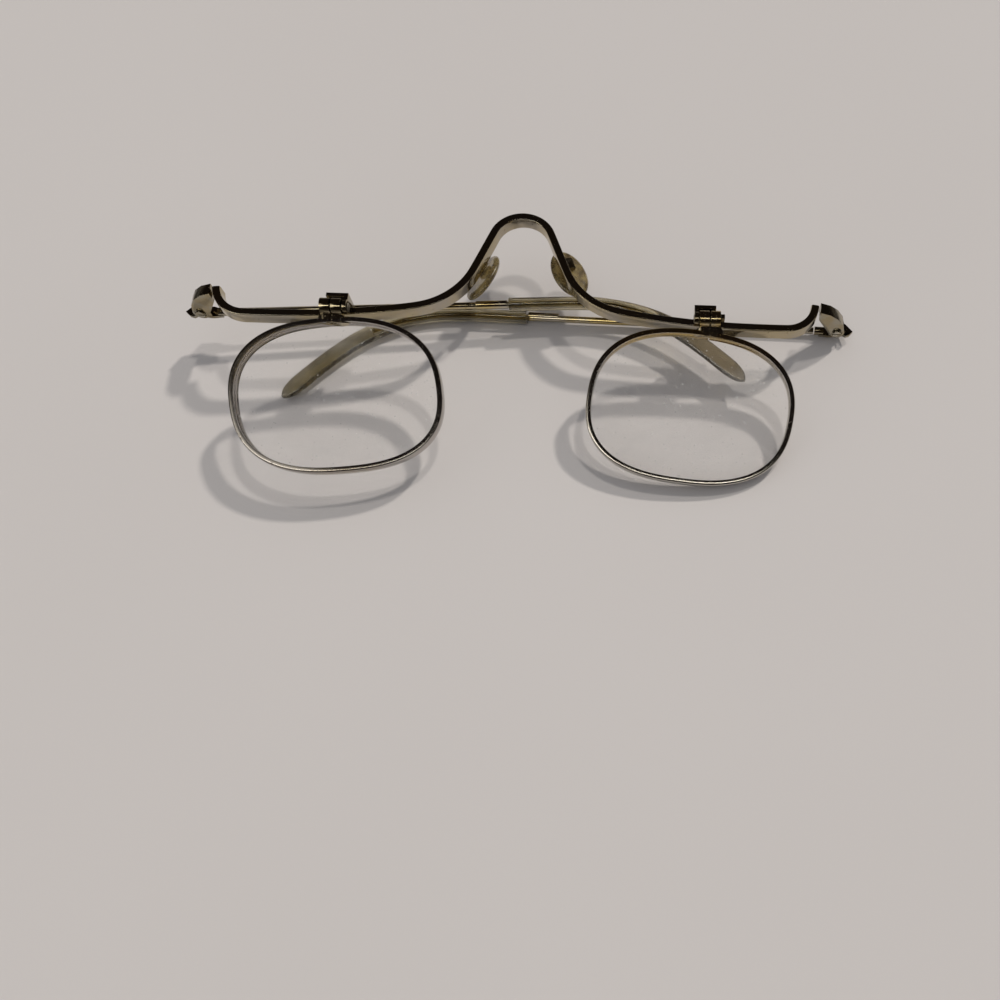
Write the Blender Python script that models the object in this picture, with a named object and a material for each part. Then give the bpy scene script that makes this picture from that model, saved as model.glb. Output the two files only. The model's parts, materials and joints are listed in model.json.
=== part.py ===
# Flip-up glasses, lying on a table with both temples folded behind the front.
# The front has its own frame: X to the wearer's side, Y up the face, Z away from the face.
# Run with: blender --background --python part.py

import math

import bmesh
import bpy
from mathutils import Matrix, Vector

MM = 0.001
SIDES = {"left": -1, "right": 1}

# Clearances between pieces
SEAT_GAP = 0.25 * MM
PIN_CLEARANCE = 0.2 * MM
SPLIT_GAP = 0.3 * MM

# Brow bar: its section, and its centre line from the middle of the arch outwards
BAR_WIDTH = 1.7 * MM
BAR_FACE_WIDTH = 1.2 * MM
BAR_DEPTH = 2.4 * MM
BAR_SHOULDER = 0.5 * MM
ARCH_RADIUS = 6.3 * MM
LIMB_ANGLE = 68.7
LIMB_LENGTH = 9.6 * MM
FILLET_RADIUS = 15 * MM
BROW_ANGLE = 10.5
BROW_RADIUS = 157 * MM
LEVEL_LENGTH = 5.0 * MM
CURL_RADIUS = 6.0 * MM
CURL_ANGLE = 80
CURL_TIP_LENGTH = 0.6 * MM

# End pieces, which carry the temple hinges
END_HEIGHT = 2.4 * MM
END_RISE = 3.75 * MM
END_ARC_RADIUS = 7.5 * MM
LOBE_RADIUS = 1.55 * MM
TEMPLE_AXIS_REACH = 4.6 * MM
TEMPLE_AXIS_DEPTH = 6.4 * MM
HINGE_SCREW_RADIUS = 0.5 * MM
HINGE_HEAD_RADIUS = 0.9 * MM
HINGE_HEAD_HEIGHT = 0.4 * MM
HINGE_HEAD_RECESS = 0.25 * MM

# Slots in the screw heads
SLOT_WIDTH = 0.25 * MM
SLOT_DEPTH = 0.25 * MM

# Temples: hinge knuckle with its butt plate, metal rod, clear sleeve and ear tip
TONGUE_THICKNESS = 0.8 * MM
TONGUE_RADIUS = 1.4 * MM
BUTT_THICKNESS = 0.6 * MM
BUTT_REACH = 3.4 * MM
BUTT_NOSE = -0.5 * MM
BUTT_FOOT = 2.7 * MM
BUTT_SHOULDER = 2.0 * MM
BUTT_LOW = -1.1 * MM
BUTT_MIDDLE_LOW = -0.5 * MM
BUTT_HIGH = 1.9 * MM
BUTT_TAPER = 1.5 * MM
COLLAR_START = 2.6 * MM
COLLAR_LENGTH = 1.8 * MM
COLLAR_RADIUS = 0.85 * MM
ROD_DEPTH = 1.85 * MM
ROD_LIFT = 0.5 * MM
ROD_RADIUS = 0.7 * MM
CORE_RADIUS = 0.5 * MM
CORE_END = 98 * MM
SLEEVE_START = 64.5 * MM
SLEEVE_RADIUS = 1.4 * MM
TEMPLE_RISE_ANGLE = 2.9
TEMPLE_STRAIGHT = 78.2 * MM
EAR_BEND_RADIUS = 36.2 * MM
EAR_BEND_ANGLE = {"left": 41.2, "right": 45.2}
EAR_SWEEP_RADIUS = 130 * MM
EAR_SWEEP_ANGLE = 6.7
TIP_WIDTH = 4.0 * MM
TIP_THICKNESS = 2.0 * MM
TIP_START = 8 * MM
TIP_FULL = 20 * MM
TIP_ROUNDING = 5 * MM
TIP_CLOSE = 0.12
TEMPLE_EXTRA = {"left": -1.5 * MM, "right": 1.5 * MM}
TEMPLE_FOLD = {"left": -1.15, "right": -2.62}

# Flip hinges: bracket on the bar, split barrel on the rim, and the screw through both
FLIP_STATION = {"left": 35.9 * MM, "right": 38.5 * MM}
BARREL_DROP = 0.4 * MM
BARREL_RADIUS = 1.65 * MM
BARREL_LENGTH = 1.9 * MM
BARREL_FOOT = 0.9 * MM
FOOT_SHIFT = 0.4 * MM
FOOT_TOP = 0.8 * MM
CHEEK_RADIUS = 1.4 * MM
CHEEK_THICKNESS = 0.8 * MM
PLATE_THICKNESS = 0.8 * MM
PLATE_OVERHANG = 2.6 * MM
PLATE_SHORTFALL = 0.85 * MM
WALL_REACH = 1.15 * MM
FLIP_SCREW_RADIUS = 0.5 * MM
FLIP_HEAD_RADIUS = 0.8 * MM
FLIP_HEAD_HEIGHT = 0.35 * MM
FLIP_HEAD_RECESS = 0.5 * MM
RIM_SLOPE = {"left": 15.5, "right": 18.6}

# Rims and lenses: a leaning superellipse on a shallow sphere
RIM_CENTRE = 35.1 * MM
RIM_HALF_WIDTH = 20.3 * MM
RIM_HALF_HEIGHT = 14.6 * MM
RIM_EXPONENT = 2.5
RIM_LEAN_OUT = 0.145
RIM_LEAN_DOWN = -0.109
RIM_HANG = 2.7 * MM
BASE_RADIUS = 140 * MM
WIRE_WIDTH = 1.1 * MM
WIRE_DEPTH = 2.6 * MM
WIRE_CORNER = 0.3 * MM
GROOVE_DEPTH = 0.35 * MM
GROOVE_HALF_HEIGHT = 0.5 * MM
LENS_THICKNESS = 1.8 * MM
LENS_BEVEL = 0.35 * MM

# Nose pads and the mounts that hold them behind the bar
PAD_LENGTH = 11.8 * MM
PAD_WIDTH = 7.8 * MM
PAD_THICKNESS = 1.7 * MM
PAD_SPLAY = {"left": 50, "right": 70}
PAD_PROFILE = ((0.82, 0), (0.97, 0.18), (1.0, 0.42), (0.93, 0.72), (0.74, 0.92), (0.4, 1))
PAD_OUT = {"left": 8.5 * MM, "right": 9.5 * MM}
PAD_UP = {"left": 14.0 * MM, "right": 14.6 * MM}
PAD_BACK = {"left": 5.9 * MM, "right": 4.7 * MM}
PAD_MOUNT_RADIUS = 0.5 * MM
PAD_BOX_LENGTH = 2.6 * MM
PAD_BOX_WIDTH = 2.0 * MM
PAD_BOX_HEIGHT = 0.8 * MM
PAD_MOUNT_RISE = 1.4 * MM

# How the folded glasses lie: the left side is held up by the crossed temples
FRONT_TILT = 2.7

# Fineness of round forms and of the runs along the temples
ARC_STEP = 9
ARC_RUN = 5 * MM
ROD_STEP = 20 * MM
CORE_STEP = 2.5 * MM
SLEEVE_STEP = 3 * MM
TIP_STEPS = 6
ROUND_SIDES = 24
SLEEVE_SIDES = 14
BORE_SIDES = 10
POST_SIDES = 12
RIM_STEPS = 72
OUTLINE_POINTS = 720
LENS_RINGS = 4
LENS_MIDDLE = 0.06


def clear_scene():
    for item in list(bpy.data.objects):
        bpy.data.objects.remove(item, do_unlink=True)


def make_material(name, colour, roughness, metallic, alpha=1.0):
    material = bpy.data.materials.new(name)
    material.use_nodes = True
    shader = material.node_tree.nodes["Principled BSDF"]
    shader.inputs["Base Color"].default_value = (*colour, 1.0)
    shader.inputs["Roughness"].default_value = roughness
    shader.inputs["Metallic"].default_value = metallic
    shader.inputs["Alpha"].default_value = alpha
    return material


def add_empty(name, parent, place, turn):
    empty = bpy.data.objects.new(name, None)
    bpy.context.collection.objects.link(empty)
    empty.parent = parent
    empty.location = place
    empty.rotation_euler = turn
    empty.empty_display_size = LEVEL_LENGTH
    return empty


def add_piece(name, data, parent, material):
    piece = bpy.data.objects.new(name, data)
    bpy.context.collection.objects.link(piece)
    piece.parent = parent
    data.materials.append(material)
    return piece


def mesh_from(shape, name):
    bmesh.ops.recalc_face_normals(shape, faces=shape.faces)
    mesh = bpy.data.meshes.new(name)
    shape.to_mesh(mesh)
    shape.free()
    return mesh


def smooth(mesh, sharp_angle=35):
    mesh.shade_smooth()
    mesh.set_sharp_from_angle(angle=math.radians(sharp_angle))


def as_guide(item):
    item.hide_render = True
    item.display_type = "WIRE"
    return item


def combine(piece, other, operation):
    change = piece.modifiers.new(operation.lower(), "BOOLEAN")
    change.operation = operation
    change.solver = "EXACT"
    change.object = as_guide(other)


def follow(place, heading, steps):
    """Points along a chain of runs: (length,) is straight, (radius, turn in degrees) is an arc."""
    points = [Vector(place)]
    angle = math.radians(heading)
    for step in steps:
        if len(step) == 1:
            points.append(points[-1] + step[0] * Vector((math.cos(angle), math.sin(angle))))
            continue
        radius, turn = step
        length = radius * math.radians(abs(turn))
        count = max(2, math.ceil(abs(turn) / ARC_STEP), math.ceil(length / ARC_RUN))
        part = math.radians(turn) / count
        chord = 2 * radius * math.sin(abs(part) / 2)
        for _ in range(count):
            angle += part / 2
            points.append(points[-1] + chord * Vector((math.cos(angle), math.sin(angle))))
            angle += part / 2
    return points


def extrude_outline(points, low, high, place):
    """A flat outline, set by place(u, v, level), drawn out between two levels."""
    shape = bmesh.new()
    face = shape.faces.new([shape.verts.new(place(u, v, low)) for u, v in points])
    drawn = bmesh.ops.extrude_face_region(shape, geom=[face])
    for vertex in [item for item in drawn["geom"] if isinstance(item, bmesh.types.BMVert)]:
        vertex.co += Vector(place(0, 0, high)) - Vector(place(0, 0, low))
    return shape


def loft(rings):
    """A closed skin through rings of points, with a face over each end."""
    shape = bmesh.new()
    loops = [[shape.verts.new(point) for point in ring] for ring in rings]
    for near, far in zip(loops, loops[1:]):
        for index in range(len(near)):
            after = (index + 1) % len(near)
            shape.faces.new((near[index], near[after], far[after], far[index]))
    shape.faces.new(loops[0])
    shape.faces.new(loops[-1])
    return shape


def cylinder(radius, start, end, sides=ROUND_SIDES):
    """A round bar between two points."""
    shape = bmesh.new()
    way = Vector(end) - Vector(start)
    turn = way.to_track_quat("Z", "Y").to_matrix().to_4x4()
    middle = Matrix.Translation((Vector(start) + Vector(end)) / 2)
    bmesh.ops.create_cone(shape, cap_ends=True, segments=sides, radius1=radius, radius2=radius,
                          depth=way.length, matrix=middle @ turn)
    return shape


def box(low, high):
    """A block between two opposite corners."""
    shape = bmesh.new()
    low, high = Vector(low), Vector(high)
    size = Vector([abs(value) for value in high - low])
    matrix = Matrix.Translation((low + high) / 2) @ Matrix.Diagonal((*size, 1))
    bmesh.ops.create_cube(shape, size=1, matrix=matrix)
    return shape


def arc(centre, radius, first, last):
    """Points on an arc between two angles in degrees."""
    count = max(2, round(abs(last - first) / (2 * ARC_STEP)))
    angles = [math.radians(first + (last - first) * index / count) for index in range(count + 1)]
    return [(centre[0] + radius * math.cos(angle), centre[1] + radius * math.sin(angle))
            for angle in angles]


def swept_curve(name, points, profile, parent, material):
    """A profile swept along open points, with its second axis kept towards Z."""
    section = bpy.data.curves.new(name + "_profile", "CURVE")
    loop = section.splines.new("POLY")
    loop.points.add(len(profile) - 1)
    for point, (across, up) in zip(loop.points, reversed(profile)):
        point.co = (across, up, 0, 1)
    loop.use_cyclic_u = True
    guide = bpy.data.objects.new(name + "_profile", section)
    bpy.context.collection.objects.link(as_guide(guide))
    data = bpy.data.curves.new(name, "CURVE")
    data.dimensions = "3D"
    data.twist_mode = "Z_UP"
    data.bevel_mode = "OBJECT"
    data.bevel_object = guide
    data.use_fill_caps = True
    path = data.splines.new("POLY")
    path.points.add(len(points) - 1)
    for point, place in zip(path.points, points):
        point.co = (*place, 1)
    return add_piece(name, data, parent, material)


def bar_half_path():
    """The bar's centre line in the front plane, from the arch's middle to the right tip."""
    steps = [(ARCH_RADIUS, -LIMB_ANGLE), (LIMB_LENGTH,), (FILLET_RADIUS, LIMB_ANGLE - BROW_ANGLE),
             (BROW_RADIUS, BROW_ANGLE), (LEVEL_LENGTH,), (CURL_RADIUS, CURL_ANGLE),
             (CURL_TIP_LENGTH,)]
    points = follow((0, 0), 0, steps)
    level = min(point.y for point in points)
    return [Vector((point.x, point.y - level)) for point in points]


def bar_height(station):
    """Height of the bar's centre line at a distance from the middle, between arch and tip."""
    path = bar_half_path()
    for near, far in zip(path, path[1:]):
        if near.x <= station <= far.x:
            share = (station - near.x) / (far.x - near.x)
            return near.y + share * (far.y - near.y)
    return path[-1].y


def bar_profile():
    """A section with a flat back, upright sides and a narrower rounded face."""
    back, face = BAR_WIDTH / 2, BAR_FACE_WIDTH / 2
    middle = (back + face) / 2
    right = [(back, -BAR_DEPTH), (back, -BAR_SHOULDER), (middle, -BAR_SHOULDER / 4), (face * 0.8, 0)]
    return right + [(-across, up) for across, up in reversed(right)]


def make_brow_bar(front, metal):
    half = [Vector((point.x, point.y, 0)) for point in bar_half_path()]
    mirrored = [Vector((-point.x, point.y, 0)) for point in reversed(half[1:])]
    return swept_curve("brow_bar", mirrored + half, bar_profile(), front, metal)


def end_inner_face():
    """Distance from the middle at which the end piece meets the bar's curled tip."""
    return max(point.x for point in bar_half_path()) + BAR_WIDTH / 2 + SEAT_GAP


def temple_axis():
    """The temple hinge on the right: distance out, height of the hinge's middle, depth."""
    out = end_inner_face() + TEMPLE_AXIS_REACH
    return Vector((out, END_RISE + END_HEIGHT / 2, -TEMPLE_AXIS_DEPTH))


def end_arc_offset():
    """From the hinge axis to the middle of the end piece's outer arc: distance out, and depth."""
    rise = END_ARC_RADIUS - TEMPLE_AXIS_DEPTH
    return Vector((-math.sqrt((END_ARC_RADIUS - LOBE_RADIUS) ** 2 - rise ** 2), -rise))


def end_outline():
    """Plan of an end piece, fanning out from the bar's tip to the round hinge lobe."""
    inner = end_inner_face()
    lobe = Vector((temple_axis().x, temple_axis().z))
    centre = lobe + end_arc_offset()
    rise = lobe.y - centre.y
    first = math.degrees(math.acos((inner - centre.x) / END_ARC_RADIUS))
    touch = math.degrees(math.atan2(rise, lobe.x - centre.x))
    corner = Vector((inner, -BAR_DEPTH))
    way = lobe - corner
    lean = math.atan2(way.y, way.x) - math.asin(LOBE_RADIUS / way.length)
    last = math.degrees(lean) - 90
    return arc(centre, END_ARC_RADIUS, first, touch) + arc(lobe, LOBE_RADIUS, touch, last)[1:] + [corner]


def butt_outline():
    """Plan of the temple's butt: it fits the end piece's outer arc when the temple stands open."""
    offset = end_arc_offset()
    centre = Vector((offset.y, -offset.x))
    near = END_ARC_RADIUS + PIN_CLEARANCE
    far = near + BUTT_THICKNESS
    span = math.degrees(math.asin((BUTT_REACH - centre.x) / near))
    inner = -COLLAR_START - COLLAR_LENGTH / 2
    return (arc(centre, near, 270 + span, 270) + [(inner, centre.y - near), (inner, centre.y - far)]
            + arc(centre, far, 270, 270 + span))


def tongue_corner():
    """Reach of the tongue's square end, where it joins the butt."""
    return math.hypot(TONGUE_RADIUS, LOBE_RADIUS + PIN_CLEARANCE)


def make_end_piece(side, sign, front, metal):
    name = "end_piece_" + side
    shape = extrude_outline(end_outline(), END_RISE, END_RISE + END_HEIGHT,
                            lambda u, v, level: (sign * u, level, v))
    piece = add_piece(name, mesh_from(shape, name), front, metal)
    axis = temple_axis()
    axis.x *= sign
    up = Vector((0, 1, 0))
    slot = TONGUE_THICKNESS / 2 + PIN_CLEARANCE
    mouth = END_HEIGHT / 2 - HINGE_HEAD_RECESS
    cuts = (("fork", tongue_corner() + SEAT_GAP, -slot, slot),
            ("bore", HINGE_SCREW_RADIUS + PIN_CLEARANCE, -END_HEIGHT, END_HEIGHT),
            ("recess", HINGE_HEAD_RADIUS + PIN_CLEARANCE, -END_HEIGHT, -mouth))
    for part, radius, low, high in cuts:
        cutter = mesh_from(cylinder(radius, axis + up * low, axis + up * high), name + "_" + part)
        combine(piece, add_piece(cutter.name, cutter, front, metal), "DIFFERENCE")
    return piece


def turned(profile, place, sides=ROUND_SIDES):
    """A turned solid through (radius, level) steps; place(a, b, level) sets each ring."""
    rings = []
    for radius, level in profile:
        angles = [2 * math.pi * index / sides for index in range(sides)]
        rings.append([place(radius * math.cos(angle), radius * math.sin(angle), level) for angle in angles])
    return loft(rings)


def make_slotted_screw(name, profile, place, slot_box, parent, metal):
    screw = add_piece(name, mesh_from(turned(profile, place), name), parent, metal)
    cutter = mesh_from(box(*slot_box), name + "_slot")
    combine(screw, add_piece(cutter.name, cutter, parent, metal), "DIFFERENCE")
    return screw


def make_hinge_screw(side, sign, front, metal):
    axis = temple_axis()
    top = END_RISE + END_HEIGHT
    under = END_RISE + HINGE_HEAD_RECESS - SEAT_GAP
    head = under - HINGE_HEAD_HEIGHT
    profile = [(HINGE_HEAD_RADIUS, head), (HINGE_HEAD_RADIUS, under), (HINGE_SCREW_RADIUS, under),
               (HINGE_SCREW_RADIUS, top)]
    centre = sign * axis.x
    slot = ((centre - 2 * HINGE_HEAD_RADIUS, head - SLOT_DEPTH, axis.z - SLOT_WIDTH / 2),
            (centre + 2 * HINGE_HEAD_RADIUS, head + SLOT_DEPTH, axis.z + SLOT_WIDTH / 2))
    make_slotted_screw("temple_screw_" + side, profile,
                       lambda a, b, level: (centre + a, level, axis.z + b), slot, front, metal)


def temple_path(side):
    """Centre line of a temple from its hinge: distance along the fold, and height."""
    steps = [(TEMPLE_STRAIGHT + TEMPLE_EXTRA[side],), (EAR_BEND_RADIUS, -EAR_BEND_ANGLE[side]),
             (EAR_SWEEP_RADIUS, -EAR_SWEEP_ANGLE)]
    return follow((0, ROD_LIFT), TEMPLE_RISE_ANGLE, steps)


def path_length(points):
    return sum((far - near).length for near, far in zip(points, points[1:]))


def point_at(points, distance):
    """The point at a distance along a chain of points."""
    for near, far in zip(points, points[1:]):
        run = (far - near).length
        if distance <= run:
            return near + (far - near) * distance / run
        distance -= run
    return points[-1].copy()


def stretch(points, start, end, step):
    """Evenly spaced points between two distances along a chain, with the distances."""
    count = max(1, math.ceil((end - start) / step))
    distances = [start + (end - start) * index / count for index in range(count + 1)]
    return [(distance, point_at(points, distance)) for distance in distances]


def make_butt(name, sign, temple, metal):
    """The curved plate at the temple's end: its plan drawn upwards, cut to its side outline."""
    plan = extrude_outline(butt_outline(), BUTT_LOW, BUTT_HIGH, lambda u, v, level: (sign * u, level, v))
    plate = add_piece(name, mesh_from(plan, name), temple, metal)
    inner, half = -COLLAR_START - COLLAR_LENGTH / 2, COLLAR_RADIUS * 0.9
    outline = [(inner, ROD_LIFT - half), (-BUTT_TAPER, BUTT_MIDDLE_LOW), (BUTT_TAPER, BUTT_MIDDLE_LOW),
               (BUTT_SHOULDER, BUTT_LOW), (BUTT_FOOT, BUTT_LOW), (BUTT_REACH, BUTT_NOSE),
               (BUTT_SHOULDER, BUTT_HIGH), (-BUTT_TAPER, BUTT_HIGH), (inner, ROD_LIFT + half)]
    deep = LOBE_RADIUS + PIN_CLEARANCE + BUTT_THICKNESS
    cutter = extrude_outline(outline, -2 * deep, 0, lambda u, v, level: (sign * u, v, level))
    mesh = mesh_from(cutter, name + "_outline")
    combine(plate, add_piece(mesh.name, mesh, temple, metal), "INTERSECT")
    return plate


def make_knuckle(side, sign, temple, metal):
    """The hinge tongue, the butt behind the end piece, and the collar that takes the rod."""
    name = "temple_knuckle_" + side
    half = TONGUE_THICKNESS / 2
    deep = LOBE_RADIUS + PIN_CLEARANCE + BUTT_THICKNESS / 2
    outline = arc((0, 0), TONGUE_RADIUS, 0, 180) + [(-TONGUE_RADIUS, -deep), (TONGUE_RADIUS, -deep)]
    tongue = extrude_outline(outline, -half, half, lambda u, v, level: (sign * u, level, v))
    piece = add_piece(name, mesh_from(tongue, name), temple, metal)
    combine(piece, make_butt(name + "_butt", sign, temple, metal), "UNION")
    rise = math.radians(TEMPLE_RISE_ANGLE)
    way = Vector((-sign * math.cos(rise), math.sin(rise), 0))
    root = Vector((0, ROD_LIFT, -ROD_DEPTH))
    collar = cylinder(COLLAR_RADIUS, root + way * COLLAR_START, root + way * (COLLAR_START + COLLAR_LENGTH))
    mesh = mesh_from(collar, name + "_collar")
    combine(piece, add_piece(mesh.name, mesh, temple, metal), "UNION")
    reach = Vector((0, END_HEIGHT, 0))
    bore = mesh_from(cylinder(HINGE_SCREW_RADIUS + PIN_CLEARANCE, -reach, reach), name + "_bore")
    combine(piece, add_piece(bore.name, bore, temple, metal), "DIFFERENCE")
    return piece


def make_rod(side, sign, temple, metal):
    """Round rod from the collar to the sleeve, thinning to the core inside the sleeve."""
    path = temple_path(side)
    start = COLLAR_START + COLLAR_LENGTH + SEAT_GAP
    neck = SLEEVE_START + TEMPLE_EXTRA[side]
    rod = stretch(path, start, neck - SEAT_GAP, ROD_STEP)
    core = stretch(path, neck, CORE_END + TEMPLE_EXTRA[side], CORE_STEP)
    data = bpy.data.curves.new("temple_rod_" + side, "CURVE")
    data.dimensions = "3D"
    data.bevel_depth = ROD_RADIUS
    data.bevel_resolution = 3
    data.use_fill_caps = True
    line = data.splines.new("POLY")
    line.points.add(len(rod) + len(core) - 1)
    sizes = [1] * len(rod) + [CORE_RADIUS / ROD_RADIUS] * len(core)
    for point, (_, place), size in zip(line.points, rod + core, sizes):
        point.co = (-sign * place.x, place.y, -ROD_DEPTH, 1)
        point.radius = size
    return add_piece(data.name, data, temple, metal)


def tube_rings(points, sign, half_sizes, sides):
    """Rings across a temple's path; half_sizes gives each ring's half height and half depth."""
    rings = []
    for index, (_, place) in enumerate(points):
        before = points[max(index - 1, 0)][1]
        after = points[min(index + 1, len(points) - 1)][1]
        way = (after - before).normalized()
        tall, deep = half_sizes[index]
        ring = []
        for turn in range(sides):
            angle = 2 * math.pi * turn / sides
            spot = place + tall * math.cos(angle) * Vector((-way.y, way.x))
            ring.append((-sign * spot.x, spot.y, deep * math.sin(angle) - ROD_DEPTH))
        rings.append(ring)
    return rings


def sleeve_size(side, distance, length):
    """Half height and half depth of the sleeve: round, then a flat rounded ear tip."""
    bend = TEMPLE_STRAIGHT + TEMPLE_EXTRA[side] + TIP_START
    share = min(max((distance - bend) / (TIP_FULL - TIP_START), 0), 1)
    blend = share * share * (3 - 2 * share)
    tall = SLEEVE_RADIUS + blend * (TIP_WIDTH / 2 - SLEEVE_RADIUS)
    deep = SLEEVE_RADIUS + blend * (TIP_THICKNESS / 2 - SLEEVE_RADIUS)
    left_over = min((length - distance) / TIP_ROUNDING, 1)
    close = max(math.sqrt(1 - (1 - left_over) ** 2), TIP_CLOSE)
    return tall * close, deep * math.sqrt(close)


def make_sleeve(side, sign, temple, plastic):
    name = "temple_sleeve_" + side
    path = temple_path(side)
    length = path_length(path)
    neck = SLEEVE_START + TEMPLE_EXTRA[side]
    points = stretch(path, neck, length - TIP_ROUNDING, SLEEVE_STEP)
    points += stretch(path, length - TIP_ROUNDING, length, TIP_ROUNDING / TIP_STEPS)[1:]
    sizes = [sleeve_size(side, distance, length) for distance, _ in points]
    skin = loft(tube_rings(points, sign, sizes, SLEEVE_SIDES))
    piece = add_piece(name, mesh_from(skin, name), temple, plastic)
    bore_end = CORE_END + TEMPLE_EXTRA[side] + SEAT_GAP
    bore = stretch(path, neck - SEAT_GAP, bore_end, SLEEVE_STEP)
    radius = CORE_RADIUS + SEAT_GAP
    hollow = loft(tube_rings(bore, sign, [(radius, radius)] * len(bore), BORE_SIDES))
    cutter = mesh_from(hollow, name + "_bore")
    combine(piece, add_piece(cutter.name, cutter, temple, plastic), "DIFFERENCE")
    smooth(piece.data)
    return piece


def flip_pivot(side):
    """Centre of a flip hinge, as if on the right: its barrel stands just in front of the bar."""
    station = FLIP_STATION[side]
    return Vector((station, bar_height(station) - BARREL_DROP, SEAT_GAP + BARREL_RADIUS))


def barrel_reach():
    """Half the length of the two barrel halves and the split between them."""
    return BARREL_LENGTH + SPLIT_GAP / 2


def cheek_outside(pivot):
    """Distance from the middle of a bracket's outer cheek face, on the nose side."""
    return pivot.x - barrel_reach() - SEAT_GAP - CHEEK_THICKNESS


def make_bracket(side, sign, front, metal):
    """Wall on the bar, plate over the barrel and one round cheek on the nose side."""
    name = "flip_bracket_" + side
    pivot = flip_pivot(side)
    nose_end = cheek_outside(pivot)
    plate_end = pivot.x + barrel_reach() - PLATE_SHORTFALL
    wall_end = pivot.x + barrel_reach() + WALL_REACH
    foot = bar_height(nose_end) + BAR_WIDTH / 2 + SEAT_GAP
    under = pivot.y + BARREL_RADIUS + SEAT_GAP
    top = under + PLATE_THICKNESS
    outline = [(-BAR_DEPTH, foot), (-BAR_DEPTH, top), (PLATE_OVERHANG, top), (PLATE_OVERHANG, under)]
    outline += arc((pivot.z, pivot.y), CHEEK_RADIUS, 60, -180) + [(pivot.z - CHEEK_RADIUS, foot)]
    shape = extrude_outline(outline, nose_end, wall_end, lambda u, v, level: (sign * level, v, u))
    piece = add_piece(name, mesh_from(shape, name), front, metal)
    low, front_end = pivot.y - 2 * BARREL_RADIUS, pivot.z + 2 * BARREL_RADIUS
    pocket = box((sign * (nose_end + CHEEK_THICKNESS), low, 0),
                 (sign * (wall_end + SEAT_GAP), under, front_end))
    beside = box((sign * plate_end, low, 0), (sign * (wall_end + SEAT_GAP), top + SEAT_GAP, front_end))
    middle = Vector((sign * pivot.x, pivot.y, pivot.z))
    out = Vector((sign * (barrel_reach() + SEAT_GAP + CHEEK_THICKNESS), 0, 0))
    bore = cylinder(FLIP_SCREW_RADIUS + PIN_CLEARANCE, middle - 2 * out, middle)
    sunk = Vector((sign * FLIP_HEAD_RECESS, 0, 0))
    recess = cylinder(FLIP_HEAD_RADIUS + PIN_CLEARANCE, middle - 2 * out, middle - out + sunk)
    for part, cut in (("pocket", pocket), ("beside", beside), ("bore", bore), ("recess", recess)):
        cutter = mesh_from(cut, name + "_" + part)
        combine(piece, add_piece(cutter.name, cutter, front, metal), "DIFFERENCE")
    return piece


def make_flip_screw(side, sign, front, metal):
    pivot = flip_pivot(side)
    under = cheek_outside(pivot) + FLIP_HEAD_RECESS - SEAT_GAP
    head = under - FLIP_HEAD_HEIGHT
    profile = [(FLIP_HEAD_RADIUS, head), (FLIP_HEAD_RADIUS, under), (FLIP_SCREW_RADIUS, under),
               (FLIP_SCREW_RADIUS, pivot.x + barrel_reach())]
    slot = ((sign * (head - SLOT_DEPTH), pivot.y - 2 * FLIP_HEAD_RADIUS, pivot.z - SLOT_WIDTH / 2),
            (sign * (head + SLOT_DEPTH), pivot.y + 2 * FLIP_HEAD_RADIUS, pivot.z + SLOT_WIDTH / 2))
    make_slotted_screw("flip_screw_" + side, profile,
                       lambda a, b, level: (sign * level, pivot.y + a, pivot.z + b), slot, front, metal)


def rim_centre(side):
    """Centre of a rim's outline from its flip pivot, as if on the right."""
    return Vector((RIM_CENTRE - FLIP_STATION[side], -RIM_HANG - RIM_HALF_HEIGHT))


def rim_point(side, angle):
    """A point on a rim's outline from its flip pivot, as if on the right."""
    power = 2 / RIM_EXPONENT
    cosine, sine = math.cos(angle), math.sin(angle)
    across = RIM_HALF_WIDTH * math.copysign(abs(cosine) ** power, cosine)
    up = RIM_HALF_HEIGHT * math.copysign(abs(sine) ** power, sine)
    return rim_centre(side) + Vector((across + RIM_LEAN_OUT * up, up + RIM_LEAN_DOWN * across))


def rim_outline(side):
    """The outline counter-clockwise, starting and ending at the split under the barrel."""
    points = [rim_point(side, 2 * math.pi * index / OUTLINE_POINTS) for index in range(OUTLINE_POINTS)]
    upper = [index for index in range(OUTLINE_POINTS) if points[index].y > rim_centre(side).y]
    first = min(upper, key=lambda index: abs(points[index].x))
    return points[first:] + points[:first + 1]


def sphere_drop(side, point):
    """How far the lens sphere falls back at a point of the rim's plane."""
    return -(point - rim_centre(side)).length_squared / (2 * BASE_RADIUS)


def wire_profile():
    """Rim wire with a rounded outer side and a groove for the lens on the inner side."""
    half, deep = WIRE_WIDTH / 2, WIRE_DEPTH / 2
    outer = [(half - WIRE_CORNER, -deep), (half, WIRE_CORNER - deep), (half, deep - WIRE_CORNER),
             (half - WIRE_CORNER, deep)]
    inner = [(-half, deep), (-half, GROOVE_HALF_HEIGHT), (GROOVE_DEPTH - half, 0),
             (-half, -GROOVE_HALF_HEIGHT), (-half, -deep)]
    return outer + inner


def make_rim(side, sign, flip, metal):
    outline = rim_outline(side)
    length = path_length(outline)
    split = SPLIT_GAP / 2
    run = [place for _, place in stretch(outline, split, length - split, length / RIM_STEPS)]
    points = [Vector((sign * place.x, place.y, sphere_drop(side, place))) for place in run]
    if sign < 0:
        points.reverse()
    return swept_curve("rim_" + side, points, wire_profile(), flip, metal)


def inset(points, distance):
    """A closed loop moved inwards, for points that run counter-clockwise."""
    moved = []
    for index, place in enumerate(points):
        way = points[(index + 1) % len(points)] - points[index - 1]
        moved.append(place + distance * Vector((-way.y, way.x)).normalized())
    return moved


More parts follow.
